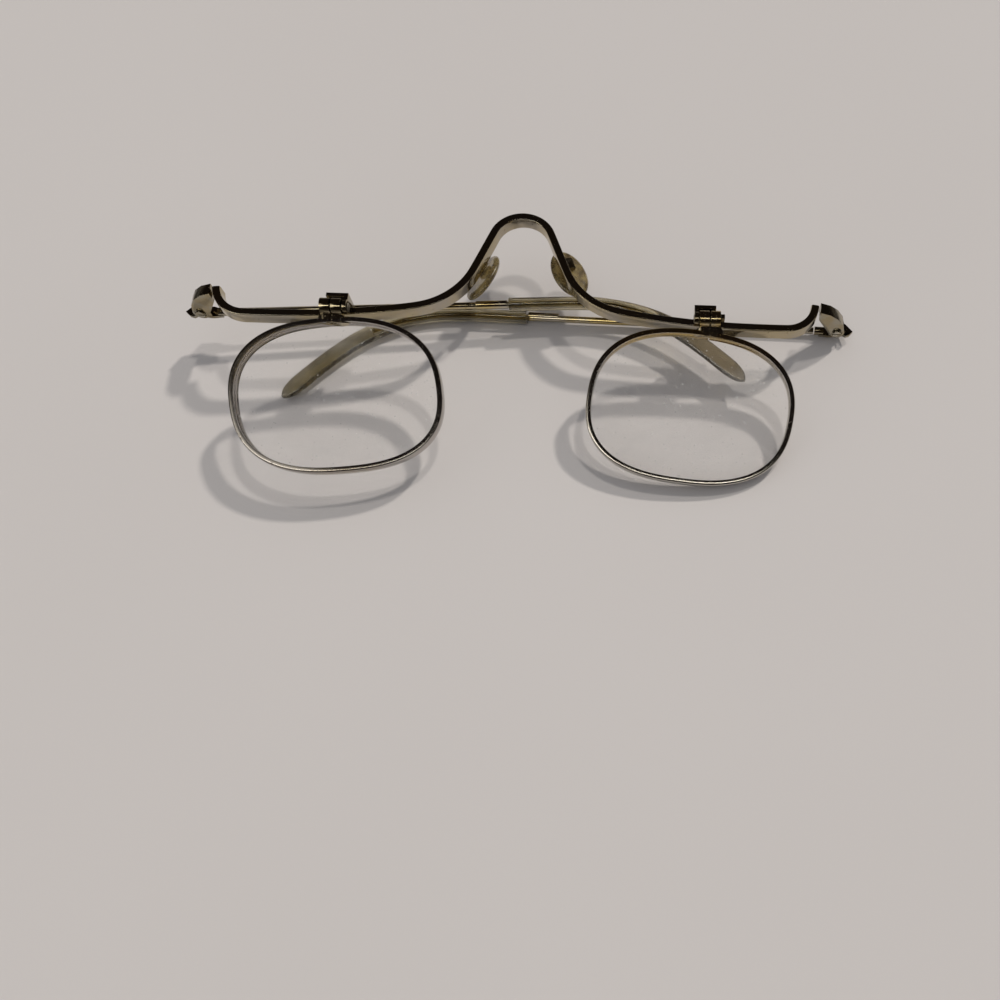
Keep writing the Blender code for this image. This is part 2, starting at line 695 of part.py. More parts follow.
def make_lens(side, sign, flip, glass):
    name = "lens_" + side
    outline = rim_outline(side)
    length = path_length(outline)
    loop = [place for _, place in stretch(outline, 0, length, length / RIM_STEPS)][:-1]
    face = inset(loop, WIRE_WIDTH / 2 + SEAT_GAP)
    edge = inset(loop, WIRE_WIDTH / 2 + SEAT_GAP - LENS_BEVEL)
    centre = rim_centre(side)
    half = LENS_THICKNESS / 2

    def ring(points, share, lift):
        spots = [centre + (place - centre) * share for place in points]
        return [(sign * spot.x, spot.y, sphere_drop(side, spot) + lift) for spot in spots]

    shares = [LENS_MIDDLE] + [step / LENS_RINGS for step in range(1, LENS_RINGS + 1)]
    rings = [ring(face, share, half) for share in shares]
    rings += [ring(edge, 1, 0)] + [ring(face, share, -half) for share in reversed(shares)]
    mesh = mesh_from(loft(rings), name)
    smooth(mesh)
    return add_piece(name, mesh, flip, glass)


def make_barrels(side, sign, flip, metal):
    """The two halves of the rim's barrel, one soldered to each end of the split wire."""
    for half, near in (("inner", -barrel_reach()), ("outer", SPLIT_GAP / 2)):
        name = "rim_barrel_" + half + "_" + side
        ends = [Vector((sign * near, 0, 0)), Vector((sign * (near + BARREL_LENGTH), 0, 0))]
        piece = add_piece(name, mesh_from(cylinder(BARREL_RADIUS, *ends), name), flip, metal)
        foot = box((ends[0].x, -BARREL_RADIUS, -BARREL_FOOT - FOOT_SHIFT),
                   (ends[1].x, -FOOT_TOP, BARREL_FOOT - FOOT_SHIFT))
        foot_mesh = mesh_from(foot, name + "_foot")
        combine(piece, add_piece(foot_mesh.name, foot_mesh, flip, metal), "UNION")
        reach = Vector((4 * BARREL_LENGTH, 0, 0))
        bore = mesh_from(cylinder(FLIP_SCREW_RADIUS + PIN_CLEARANCE, -reach, reach), name + "_bore")
        combine(piece, add_piece(bore.name, bore, flip, metal), "DIFFERENCE")


def pad_frame(side):
    """Axes of a nose pad: along the limb, across it, and out towards the nose."""
    limb, splay = math.radians(LIMB_ANGLE), math.radians(PAD_SPLAY[side])
    along = Vector((math.cos(limb), -math.sin(limb), 0))
    nose = Vector((-math.sin(limb), -math.cos(limb), 0))
    face = nose * math.cos(splay) - Vector((0, 0, 1)) * math.sin(splay)
    across = along.cross(face)
    return [Vector((SIDES[side] * axis.x, axis.y, axis.z)) for axis in (along, across, face)]


def pad_centre(side):
    return Vector((SIDES[side] * PAD_OUT[side], PAD_UP[side], -PAD_BACK[side]))


def make_nose_pad(side, front, plastic):
    name = "nose_pad_" + side
    along, across, face = pad_frame(side)
    rings = []
    for share, level in PAD_PROFILE:
        lift = pad_centre(side) + face * PAD_THICKNESS * (level - 0.5)
        ring = []
        for turn in range(ROUND_SIDES):
            angle = 2 * math.pi * turn / ROUND_SIDES
            ring.append(lift + share * (along * PAD_LENGTH / 2 * math.cos(angle)
                                        + across * PAD_WIDTH / 2 * math.sin(angle)))
        rings.append(ring)
    mesh = mesh_from(loft(rings), name)
    smooth(mesh, 50)
    return add_piece(name, mesh, front, plastic)


def make_pad_mount(side, sign, front, metal):
    """A short post from the back of the bar to a small box on the back of the pad."""
    name = "pad_mount_" + side
    along, across, face = pad_frame(side)
    seat = pad_centre(side) - face * (PAD_THICKNESS / 2 + SEAT_GAP) - along * PAD_MOUNT_RISE
    half = [along * PAD_BOX_LENGTH / 2, across * PAD_BOX_WIDTH / 2]
    corners = [seat + half[0] + half[1], seat + half[0] - half[1], seat - half[0] - half[1],
               seat - half[0] + half[1]]
    rings = [corners, [corner - face * PAD_BOX_HEIGHT for corner in corners]]
    piece = add_piece(name, mesh_from(loft(rings), name), front, metal)
    middle = seat - face * PAD_BOX_HEIGHT / 2
    limb = math.radians(LIMB_ANGLE)
    edge = BAR_WIDTH / 2 - PAD_MOUNT_RADIUS
    root = limb_point(middle.y) + edge * Vector((math.sin(limb), math.cos(limb)))
    start = Vector((sign * root.x, root.y, -BAR_DEPTH - SEAT_GAP))
    lean = (middle - start).normalized()
    start.z -= PAD_MOUNT_RADIUS * math.hypot(lean.x, lean.y)
    post = mesh_from(cylinder(PAD_MOUNT_RADIUS, start, middle, POST_SIDES), name + "_post")
    combine(piece, add_piece(post.name, post, front, metal), "UNION")
    return piece


def limb_point(height):
    """The point of the arch's right limb at a height."""
    path = bar_half_path()
    for near, far in zip(path, path[1:]):
        if far.y <= height <= near.y:
            share = (near.y - height) / (near.y - far.y)
            return near + share * (far - near)
    return path[0]


def world_points(item, depsgraph):
    shown = item.evaluated_get(depsgraph)
    mesh = shown.to_mesh()
    points = [item.matrix_world @ vertex.co for vertex in mesh.vertices]
    shown.to_mesh_clear()
    return points


def rest_on_table(front):
    """Moves the whole object so that the middle of its base is the origin."""
    bpy.context.view_layer.update()
    depsgraph = bpy.context.evaluated_depsgraph_get()
    pieces = [item for item in bpy.data.objects if item.type in {"MESH", "CURVE"} and not item.hide_render]
    points = [point for piece in pieces for point in world_points(piece, depsgraph)]
    low = Vector([min(point[axis] for point in points) for axis in range(3)])
    high = Vector([max(point[axis] for point in points) for axis in range(3)])
    front.location -= Vector(((low.x + high.x) / 2, (low.y + high.y) / 2, low.z))


def build():
    clear_scene()
    gold = make_material("worn_gold", (0.58, 0.48, 0.30), 0.28, 1.0)
    silver = make_material("worn_silver", (0.62, 0.60, 0.55), 0.30, 1.0)
    steel = make_material("screw_steel", (0.42, 0.40, 0.34), 0.35, 1.0)
    amber = make_material("aged_pad", (0.72, 0.60, 0.28), 0.35, 0.0, 0.9)
    clear = make_material("clear_sleeve", (0.85, 0.84, 0.76), 0.15, 0.0, 0.6)
    glass = make_material("lens_glass", (0.92, 0.95, 0.95), 0.05, 0.0, 0.35)
    front = add_empty("front_frame", None, (0, 0, 0), (0, math.radians(FRONT_TILT), 0))
    make_brow_bar(front, gold)
    for side, sign in SIDES.items():
        make_end_piece(side, sign, front, gold)
        make_hinge_screw(side, sign, front, steel)
        make_bracket(side, sign, front, gold)
        make_flip_screw(side, sign, front, steel)
        make_nose_pad(side, front, amber)
        make_pad_mount(side, sign, front, silver)
        axis, pivot = temple_axis(), flip_pivot(side)
        temple = add_empty("temple_axis_" + side, front, (sign * axis.x, axis.y, axis.z),
                           (0, math.radians(TEMPLE_FOLD[side]), 0))
        make_knuckle(side, sign, temple, gold)
        make_rod(side, sign, temple, gold)
        make_sleeve(side, sign, temple, clear)
        flip = add_empty("flip_axis_" + side, front, (sign * pivot.x, pivot.y, pivot.z),
                         (math.radians(RIM_SLOPE[side]), 0, 0))
        make_rim(side, sign, flip, gold if sign > 0 else silver)
        make_barrels(side, sign, flip, gold)
        make_lens(side, sign, flip, glass)
    rest_on_table(front)


build()
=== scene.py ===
# Flip-up glasses lying folded on a sheet of pale paper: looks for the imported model.
import json
import math

import bpy
from mathutils import Matrix, Vector


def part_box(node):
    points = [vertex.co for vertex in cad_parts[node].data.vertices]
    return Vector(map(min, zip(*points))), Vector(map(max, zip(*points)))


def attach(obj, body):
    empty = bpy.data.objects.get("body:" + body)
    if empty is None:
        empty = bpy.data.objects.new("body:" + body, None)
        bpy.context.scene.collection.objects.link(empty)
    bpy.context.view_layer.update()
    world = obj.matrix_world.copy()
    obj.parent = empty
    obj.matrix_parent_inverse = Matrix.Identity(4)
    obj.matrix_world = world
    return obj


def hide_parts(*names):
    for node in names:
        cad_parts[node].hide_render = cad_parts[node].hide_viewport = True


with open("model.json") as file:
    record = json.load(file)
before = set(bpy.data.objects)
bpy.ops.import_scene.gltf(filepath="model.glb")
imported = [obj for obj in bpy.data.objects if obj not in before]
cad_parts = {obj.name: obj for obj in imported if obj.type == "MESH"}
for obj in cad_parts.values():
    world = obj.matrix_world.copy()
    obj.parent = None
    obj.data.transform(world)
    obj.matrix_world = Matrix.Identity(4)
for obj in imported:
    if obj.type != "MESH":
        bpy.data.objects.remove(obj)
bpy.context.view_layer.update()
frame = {"nodes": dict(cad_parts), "record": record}
mm = 0.001
print("stage: model loaded")


# Shader sums written as plain expressions
class Value:
    def __init__(self, look, socket):
        self.look, self.socket = look, socket

    def sum(self, operation, first, second):
        return self.look.add("ShaderNodeMath", {"operation": operation}, [first, second])

    def __add__(self, other):
        return self.sum("ADD", self, other)

    def __radd__(self, other):
        return self.sum("ADD", other, self)

    def __sub__(self, other):
        return self.sum("SUBTRACT", self, other)

    def __rsub__(self, other):
        return self.sum("SUBTRACT", other, self)

    def __mul__(self, other):
        return self.sum("MULTIPLY", self, other)

    def __rmul__(self, other):
        return self.sum("MULTIPLY", other, self)

    def __pow__(self, other):
        return self.sum("POWER", self, other)


# A material or the world, with its nodes; sizes and depths are in metres
class Look:
    def __init__(self, name, kind=bpy.data.materials, shader="Principled BSDF", place="Object"):
        self.material = kind.new(name)
        self.material.use_nodes = True
        self.tree = self.material.node_tree
        self.shader = self.tree.nodes[shader]
        self.place = self.add("ShaderNodeTexCoord", {}, {}, place)

    def add(self, kind, settings, inputs, output=0):
        node = self.tree.nodes.new(kind)
        for key, value in settings.items():
            setattr(node, key, value)
        for key, value in (inputs.items() if isinstance(inputs, dict) else enumerate(inputs)):
            self.join(node.inputs[key], value)
        return Value(self, node.outputs[output])

    def join(self, socket, value):
        if isinstance(value, Value):
            self.tree.links.new(value.socket, socket)
        else:
            socket.default_value = value

    def along(self, axis):
        return self.add("ShaderNodeSeparateXYZ", {}, [self.place], axis)

    def ray(self, kind):  # 1 for rays of this kind
        return self.add("ShaderNodeLightPath", {}, {}, kind)

    def noise(self, size, detail=3, stretch=(1, 1, 1), turn=(0, 0, 0)):  # lies around 0.5
        place = self.add("ShaderNodeMapping", {}, {"Vector": self.place, "Rotation": turn, "Scale": stretch})
        inputs = {"Vector": place, "Scale": 1 / size, "Detail": detail}
        return self.add("ShaderNodeTexNoise", {}, inputs, "Fac")

    def wander(self, noise, reach):  # moves a border to and fro
        return (noise - 0.5) * reach

    def specks(self, size, reach, solid=0.6):  # small round dots, 1 inside and 0 outside
        near = self.add("ShaderNodeTexVoronoi", {}, {"Vector": self.place, "Scale": 1 / size}, "Distance")
        return self.between(near, reach, reach * solid)

    def between(self, value, low, high):  # 0 up to low, 1 from high on, or the other way round
        return self.add("ShaderNodeMapRange", {"interpolation_type": "SMOOTHSTEP"},
                        {"Value": value, "From Min": low, "From Max": high})

    def tint(self, share, first, second):  # the colour sockets of a Mix node are inputs 6 and 7 and output 2
        inputs = {"Factor": share, 6: first if isinstance(first, Value) else (*first, 1),
                  7: second if isinstance(second, Value) else (*second, 1)}
        return self.add("ShaderNodeMix", {"data_type": "RGBA"}, inputs, 2)

    def bump(self, height, depth, strength):
        inputs = {"Height": height, "Distance": depth, "Strength": strength}
        return self.add("ShaderNodeBump", {}, inputs, "Normal")

    def set(self, **values):
        for key, value in values.items():
            self.join(self.shader.inputs[key.replace("_", " ")], value)
        return self.material


# Metals: plating rubbed through to bare metal, with grime in the pits; the faded one is gold near its hinge
metalGrain = {"fine": 0.5 * mm, "fineShare": 0.2, "depth": 0.008 * mm, "strength": 0.5,
              "scratch": 0.25 * mm, "scratchStretch": (0.08, 1, 1), "scratchTurn": (0.1, 0.4, 0.6),
              "scratchShare": 0.4, "pit": 0.9 * mm, "pitReach": 0.2, "pitDepth": 0.5,
              "grimeSize": 3 * mm, "grimeFrom": 0.5, "grimeTo": 0.62, "grimeDull": 0.3}
wornGold = {"plating": (0.48, 0.41, 0.27), "bare": (0.44, 0.40, 0.33), "grime": (0.12, 0.09, 0.05),
            "wearSize": 9 * mm, "wearFrom": 0.42, "wearTo": 0.62, "polish": 0.05, "dull": 0.28, "pits": 0.7}
brightGold = {"plating": (0.62, 0.45, 0.17), "bare": (0.52, 0.44, 0.29), "grime": (0.12, 0.09, 0.05),
              "wearSize": 11 * mm, "wearFrom": 0.5, "wearTo": 0.66, "polish": 0.06, "dull": 0.32, "pits": 0.7}
rodGold = {**brightGold, "plating": (0.61, 0.48, 0.22), "bare": (0.56, 0.51, 0.41), "wearFrom": 0.44,
           "wearTo": 0.6}
fadedGold = {**brightGold, "bare": (0.58, 0.55, 0.50), "fadeFrom": 2 * mm, "fadeTo": -7 * mm}
wornSilver = {"plating": (0.45, 0.38, 0.28), "bare": (0.47, 0.44, 0.41), "grime": (0.12, 0.10, 0.08),
              "wearSize": 12 * mm, "wearFrom": 0.3, "wearTo": 0.5, "polish": 0.09, "dull": 0.36, "pits": 0.9}
tarnished = {"plating": (0.36, 0.30, 0.19), "bare": (0.38, 0.35, 0.28), "grime": (0.08, 0.06, 0.03),
             "wearSize": 3 * mm, "wearFrom": 0.42, "wearTo": 0.62, "polish": 0.08, "dull": 0.4, "pits": 0.8}
# The pad mount is rougher, a real dull finish, and painted darker: painted shade for the dark it mirrors
# through the pad
mountMetalShaded = {"plating": (0.34, 0.27, 0.16), "bare": (0.28, 0.24, 0.19), "grime": (0.08, 0.06, 0.03),
              "wearSize": 2 * mm, "wearFrom": 0.4, "wearTo": 0.6, "polish": 0.35, "dull": 0.6, "pits": 0.8}
screwSteel = {"plating": (0.42, 0.37, 0.27), "bare": (0.50, 0.47, 0.40), "grime": (0.05, 0.04, 0.03),
              "wearSize": 1.5 * mm, "wearFrom": 0.4, "wearTo": 0.6, "polish": 0.22, "dull": 0.5, "pits": 1}


def metalLook(name, metal):
    look = Look(name)
    grain = metalGrain
    broad = look.noise(metal["wearSize"], detail=4)
    fine = look.noise(grain["fine"], detail=4)
    scratches = look.noise(grain["scratch"], stretch=grain["scratchStretch"], turn=grain["scratchTurn"])
    mixed = broad * (1 - grain["fineShare"]) + fine * grain["fineShare"]
    wear = look.between(mixed, metal["wearFrom"], metal["wearTo"])
    if "fadeFrom" in metal:
        height = look.along("Y") + look.wander(broad, metal["wearSize"])
        wear = 1 - (1 - wear) * look.between(height, metal["fadeTo"], metal["fadeFrom"])
    grime = look.specks(grain["pit"], grain["pitReach"])
    grime = grime * look.between(look.noise(grain["grimeSize"]), grain["grimeFrom"], grain["grimeTo"])
    colour = look.tint(wear, metal["plating"], metal["bare"])
    colour = look.tint(grime * metal["pits"], colour, metal["grime"])
    roughness = metal["polish"] + metal["dull"] * fine * broad + grime * grain["grimeDull"]
    relief = scratches * grain["scratchShare"] + fine * (1 - grain["scratchShare"])
    relief = relief - grime * grain["pitDepth"]
    return look.set(Base_Color=colour, Roughness=roughness, Metallic=1.0,
                    Normal=look.bump(relief, grain["depth"], grain["strength"]))


# Lens glass with smears, specks of dust and a fine film, which are a dull layer over it
glass = {"roughness": 0.02, "bend": 1.02, "seen": 0.06, "seenEdgeOn": 0.9, "edgePower": 5,
         "smear": 7 * mm, "smearStretch": (0.5, 1, 1), "smearTurn": (0, 0, 0.5), "smearFrom": 0.45,
         "smearTo": 0.75, "smearHaze": 0.07, "speck": 1.3 * mm, "speckReach": 0.13, "speckHaze": 0.75,
         "patch": 2 * mm, "patchFrom": 0.46, "patchTo": 0.54, "film": 0.12 * mm, "filmFrom": 0.6,
         "filmTo": 0.72, "filmHaze": 0.06, "dust": (0.62, 0.60, 0.57), "dustRoughness": 0.9}


def lensLook():
    look = Look("lens_glass_dusty")
    smears = look.noise(glass["smear"], detail=5, stretch=glass["smearStretch"], turn=glass["smearTurn"])
    patches = look.between(look.noise(glass["patch"]), glass["patchFrom"], glass["patchTo"])
    specks = look.specks(glass["speck"], glass["speckReach"]) * patches
    film = look.between(look.noise(glass["film"], detail=2), glass["filmFrom"], glass["filmTo"])
    haze = look.between(smears, glass["smearFrom"], glass["smearTo"]) * glass["smearHaze"]
    haze = haze + specks * glass["speckHaze"] + film * glass["filmHaze"]
    grazing = look.add("ShaderNodeLayerWeight", {}, {"Blend": 0.5}, "Facing")
    look.set(Base_Color=(1.0, 1.0, 1.0, 1), Roughness=glass["roughness"], IOR=glass["bend"],
             Alpha=glass["seen"] + glass["seenEdgeOn"] * grazing ** glass["edgePower"],
             Coat_Weight=1.0, Coat_Roughness=glass["roughness"], Transmission_Weight=1.0)
    dusty = look.tree.nodes.new("ShaderNodeBsdfPrincipled")
    look.join(dusty.inputs["Base Color"], (*glass["dust"], 1))
    look.join(dusty.inputs["Roughness"], glass["dustRoughness"])
    blend = look.tree.nodes.new("ShaderNodeMixShader")
    look.join(blend.inputs[0], haze)
    look.tree.links.new(look.shader.outputs[0], blend.inputs[1])
    look.tree.links.new(dusty.outputs[0], blend.inputs[2])
    look.tree.links.new(blend.outputs[0], look.tree.nodes["Material Output"].inputs["Surface"])
    return look.material


# Plastics: clear sleeves, the left one darker towards its tip as painted shade for the shadow and dim room it
# refracts there, and yellowed nose pads
plasticGrain = {"fine": 0.3 * mm, "fineDull": 0.05, "agedFrom": 0.4, "agedTo": 0.65, "bend": 1.47,
                "gloss": 0.8, "depth": 0.01 * mm, "strength": 0.4}
sleeve = {"fresh": (0.66, 0.60, 0.41), "aged": (0.46, 0.40, 0.24), "cloud": 6 * mm, "clear": 1.0,
          "roughness": 0.02, "alpha": 0.88}
# The left sleeve's tip colour is painted shade: the sleeve darkens towards its tip
tipShadedSleeve = {**sleeve, "tip": (0.27, 0.22, 0.13), "tipFrom": 27 * mm, "tipTo": 36 * mm,
                 "tipWander": 10 * mm}
pad = {"fresh": (0.38, 0.29, 0.12), "aged": (0.12, 0.08, 0.03), "cloud": 2.5 * mm, "clear": 0.7,
       "roughness": 0.16, "alpha": 1.0}


def plasticLook(name, plastic):
    look = Look(name)
    grain = plasticGrain
    cloud = look.noise(plastic["cloud"], detail=5)
    fine = look.noise(grain["fine"])
    aged = look.between(cloud, grain["agedFrom"], grain["agedTo"])
    tone = look.tint(aged, plastic["fresh"], plastic["aged"])
    # Painted shade: a sleeve with a tip colour is darkened towards its tip
    if "tip" in plastic:
        place = look.along("X") + look.wander(cloud, plastic["tipWander"])
        tone = look.tint(look.between(place, plastic["tipFrom"], plastic["tipTo"]), tone, plastic["tip"])
    roughness = plastic["roughness"] + cloud * plastic["roughness"] + fine * grain["fineDull"]
    return look.set(Base_Color=tone, Roughness=roughness, IOR=grain["bend"], Alpha=plastic["alpha"],
                    Transmission_Weight=plastic["clear"], Coat_Weight=grain["gloss"],
                    Normal=look.bump(fine, grain["depth"], grain["strength"]))


# The look of each material slot, and of the pieces that differ from their slot
looks = {"worn_gold": metalLook("gold_plating_worn", wornGold),
         "worn_silver": metalLook("silver_metal_worn", wornSilver),
         "screw_steel": metalLook("screw_metal", screwSteel),
         "lens_glass": lensLook(),
         "clear_sleeve": plasticLook("sleeve_plastic", sleeve),
         "aged_pad": plasticLook("pad_plastic", pad)}
# The pad mount's own look is a darker copy of its metal, with painted shade
ownLooks = {"pad_mount": metalLook("mount_metal_dull_shaded", mountMetalShaded),
            "temple_rod": metalLook("temple_rod_gold", rodGold),
            "rim_right": metalLook("rim_right_faded", fadedGold),
            "temple_sleeve_left": plasticLook("sleeve_plastic_browned", tipShadedSleeve)}
for own in ("rim_barrel_inner_right", "rim_barrel_outer_right"):
    ownLooks[own] = metalLook(own + "_gold", brightGold)
for own in ("end_piece", "temple_knuckle", "flip_bracket"):
    ownLooks[own] = metalLook(own + "_tarnished", tarnished)
print("stage: materials made")


def deselect():
    for item in list(bpy.context.selected_objects):
        item.select_set(False)


def pick(item):
    deselect()
    item.select_set(True)
    bpy.context.view_layer.objects.active = item


# Finish of the CAD pieces: "edge" rounds edges, "rounds" subdivides but keeps turns over "crease" degrees
finish = {"brow_bar": {"rounds": 2, "crease": 40}, "rim": {"rounds": 2, "crease": 60},
          "nose_pad": {"rounds": 2, "crease": 60}, "temple_sleeve": {"rounds": 2, "crease": 48},
          "end_piece": {"edge": 0.12 * mm}, "flip_bracket": {"edge": 0.12 * mm},
          "temple_knuckle": {"edge": 0.1 * mm}, "temple_screw": {"edge": 0.06 * mm},
          "flip_screw": {"edge": 0.05 * mm}, "pad_mount": {"edge": 0.08 * mm},
          "rim_barrel_inner": {"edge": 0.08 * mm}, "rim_barrel_outer": {"edge": 0.08 * mm},
          "temple_rod": {}, "lens": {}}
smoothAngle = math.radians(38)
flatAngle = math.radians(0.8)
weld = 0.002 * mm


def roundEdges(piece, width):
    edges = piece.modifiers.new("edges", "BEVEL")
    edges.width = width
    edges.segments = 3
    edges.limit_method = "ANGLE"
    edges.angle_limit = smoothAngle
    bpy.ops.object.modifier_apply(modifier=edges.name)


def roundForm(piece, rounds):
    rounder = piece.modifiers.new("rounder", "SUBSURF")
    rounder.levels = rounder.render_levels = rounds
    bpy.ops.object.modifier_apply(modifier=rounder.name)


def creaseEdges(degrees, strength):
    bpy.ops.mesh.select_all(action="DESELECT")
    bpy.ops.mesh.edges_select_sharp(sharpness=math.radians(degrees))
    bpy.ops.transform.edge_crease(value=strength)


def selectWhere(piece, test):  # selects the vertices of a piece in edit mode by their place
    bpy.ops.mesh.select_all(action="DESELECT")
    bpy.ops.object.mode_set(mode="OBJECT")
    for vertex in piece.data.vertices:
        vertex.select = test(vertex.co)
    bpy.ops.object.mode_set(mode="EDIT")


def dress(piece, material, body):
    bpy.ops.object.shade_smooth_by_angle(angle=smoothAngle)
    piece.data.materials.clear()
    piece.data.materials.append(material)
    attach(piece, body)


# The rim's split under its barrels is drawn together to a hairline
joints = {joint["name"]: joint for joint in frame["record"]["behaviour"]["joints"]}
split = {"half": 0.15 * mm, "shift": 0.12 * mm, "slack": 0.03 * mm, "reach": 6 * mm}


def hingeLine(side):
    hinge = joints["lens_" + side + "_flip"]
    return Vector(hinge["pos_m"]), Vector(hinge["axis"]).normalized()


def closeSplit(piece, side):
    pivot, along = hingeLine(side)
    for way in (1, -1):
        selectWhere(piece, lambda place: (place - pivot).length < split["reach"]
                    and abs((place - pivot).dot(along) * way - split["half"]) < split["slack"])
        bpy.ops.transform.translate(value=-along * way * split["shift"])


def addFinishedCopy(node, slot, body):
    kind = node.removesuffix("_left").removesuffix("_right")
    way = finish[kind]
    piece = bpy.data.objects.new(node + "_finished", frame["nodes"][node].data.copy())
    bpy.context.scene.collection.objects.link(piece)
    pick(piece)
    bpy.ops.object.mode_set(mode="EDIT")
    bpy.ops.mesh.select_all(action="SELECT")
    bpy.ops.mesh.remove_doubles(threshold=weld)
    if "edge" in way:
        bpy.ops.mesh.dissolve_limited(angle_limit=flatAngle)
    else:
        bpy.ops.mesh.tris_convert_to_quads(face_threshold=smoothAngle, shape_threshold=smoothAngle)
    if kind == "rim":
        closeSplit(piece, node.removeprefix("rim_"))
    if "rounds" in way:
        creaseEdges(way["crease"], 1)
    bpy.ops.object.mode_set(mode="OBJECT")
    if "edge" in way:
        roundEdges(piece, way["edge"])
    if "rounds" in way:
        roundForm(piece, way["rounds"])
    dress(piece, ownLooks.get(node, ownLooks.get(kind, looks[slot])), body)
    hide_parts(node)


slots = {part["node"]: part["material_slot"] for part in frame["record"]["subparts"]}
for body, nodes in frame["record"]["behaviour"]["bodies"].items():
    for node in nodes:
        addFinishedCopy(node, slots[node], body)
print("stage: pieces finished")


# Solder between each barrel half and the end of the rim's wire below it, tapered and sunk away from the split
solder = {"length": 3.1 * mm, "height": 1.75 * mm, "depth": 2.5 * mm, "drop": 2.32 * mm, "back": 0.62 * mm,
          "split": 0.02 * mm, "taper": 0.3, "taperFrom": 0.49, "sink": 0.25,
          "cuts": 2, "sharp": 60, "crease": 0.75, "rounds": 2}


def addSolder(side, half, sign):
    pivot, along = hingeLine(side)
    low, high = (Vector(corner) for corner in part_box("rim_" + side))
    drop = (low + high) / 2 - pivot
    drop = (drop - along * drop.dot(along)).normalized()
    face = along.cross(drop).normalized()
    if face.z < 0:
        face.negate()
    middle = pivot + drop * solder["drop"] - face * solder["back"]
    middle += along * sign * (solder["split"] + solder["length"] / 2)
    deselect()
    bpy.ops.mesh.primitive_cube_add(size=1, location=(0, 0, 0))
    piece = bpy.context.active_object
    piece.name = "rim_solder_" + half + "_" + side
    piece.scale = (solder["length"], solder["depth"], solder["height"])
    bpy.ops.object.transform_apply(location=False, rotation=False, scale=True)
    bpy.ops.object.mode_set(mode="EDIT")
    bpy.ops.mesh.select_all(action="SELECT")
    bpy.ops.mesh.subdivide(number_cuts=solder["cuts"])
    selectWhere(piece, lambda place: place.x > solder["length"] * solder["taperFrom"])
    bpy.ops.transform.resize(value=(1, solder["taper"], solder["taper"]))
    bpy.ops.transform.translate(value=(0, 0, -solder["height"] * solder["sink"]))
    creaseEdges(solder["sharp"], solder["crease"])
    bpy.ops.object.mode_set(mode="OBJECT")
    roundForm(piece, solder["rounds"])
    turn = Matrix((along * sign, (-drop).cross(along * sign), -drop)).transposed().to_4x4()
    piece.matrix_world = Matrix.Translation(middle) @ turn
    bpy.ops.object.transform_apply(location=True, rotation=True, scale=True)
    bpy.ops.object.mode_set(mode="EDIT")
    bpy.ops.mesh.select_all(action="SELECT")
    bpy.ops.mesh.normals_make_consistent(inside=False)
    bpy.ops.object.mode_set(mode="OBJECT")
    dress(piece, looks["worn_gold"], "flip_" + side)


# Ferrule at the end of each rod, just before the clear sleeve
ferrule = {"length": 6.6 * mm, "radius": 0.84 * mm, "gap": 0.3 * mm, "lip": 0.12 * mm, "sides": 32,
           "slice": 0.4 * mm}


def rodLine(side):  # the middles of thin slices across the rod, from left to right
    slices = {}
    for vertex in frame["nodes"]["temple_rod_" + side].data.vertices:
        slices.setdefault(round(vertex.co.x / ferrule["slice"]), []).append(vertex.co)
    middles = [sum(points, Vector()) / len(points) for points in slices.values()]
    return sorted(middles, key=lambda middle: middle.x)


def onLine(line, x):
    for near, far in zip(line, line[1:]):
        if near.x <= x <= far.x:
            return near + (far - near) * (x - near.x) / (far.x - near.x)
    return line[0] if x < line[0].x else line[-1]


def addFerrule(side, sign):
    line = rodLine(side)
    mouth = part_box("temple_sleeve_" + side)[0 if side == "left" else 1][0]
    start = onLine(line, mouth - sign * ferrule["gap"])
    end = onLine(line, mouth - sign * (ferrule["gap"] + ferrule["length"]))
    deselect()
    bpy.ops.mesh.primitive_cylinder_add(vertices=ferrule["sides"], radius=ferrule["radius"],
                                        depth=(end - start).length, location=(start + end) / 2,
                                        rotation=(end - start).to_track_quat("Z", "Y").to_euler())
    piece = bpy.context.active_object
    piece.name = "temple_ferrule_" + side
    bpy.ops.object.transform_apply(location=True, rotation=True, scale=True)
    roundEdges(piece, ferrule["lip"])
    dress(piece, ownLooks["temple_rod"], "temple_" + side)


for side, sign in (("left", 1), ("right", -1)):
    addSolder(side, "a", 1)
    addSolder(side, "b", -1)
    addFerrule(side, sign)
print("stage: solder and ferrules added")

# Paper under the glasses; where metal mirrors it, it ends like a sheet in a darker room
paper = {"colour": (0.57, 0.535, 0.515), "shade": (0.54, 0.505, 0.485), "mirroredFar": (0.05, 0.045, 0.04),
         "size": 8.0, "sheetFrom": 0.078, "sheetTo": 0.115, "patch": 120 * mm, "grain": 0.6 * mm,
         "roughness": 0.85, "depth": 0.02 * mm, "strength": 0.3}
paperLook = Look("paper")
away = paperLook.add("ShaderNodeVectorMath", {"operation": "LENGTH"}, [paperLook.place], "Value")
far = paperLook.between(away, paper["sheetFrom"], paper["sheetTo"]) * paperLook.ray("Is Glossy Ray")
tone = paperLook.tint(paperLook.noise(paper["patch"], detail=2), paper["shade"], paper["colour"])
grain = paperLook.bump(paperLook.noise(paper["grain"], detail=4), paper["depth"], paper["strength"])
tone = paperLook.tint(far, tone, paper["mirroredFar"])
paperLook.set(Base_Color=tone, Roughness=paper["roughness"], Normal=grain)
deselect()
bpy.ops.mesh.primitive_plane_add(size=paper["size"], location=(0, 0, 0))
sheet = bpy.context.active_object
sheet.name = "paper"
sheet.data.materials.append(paperLook.material)

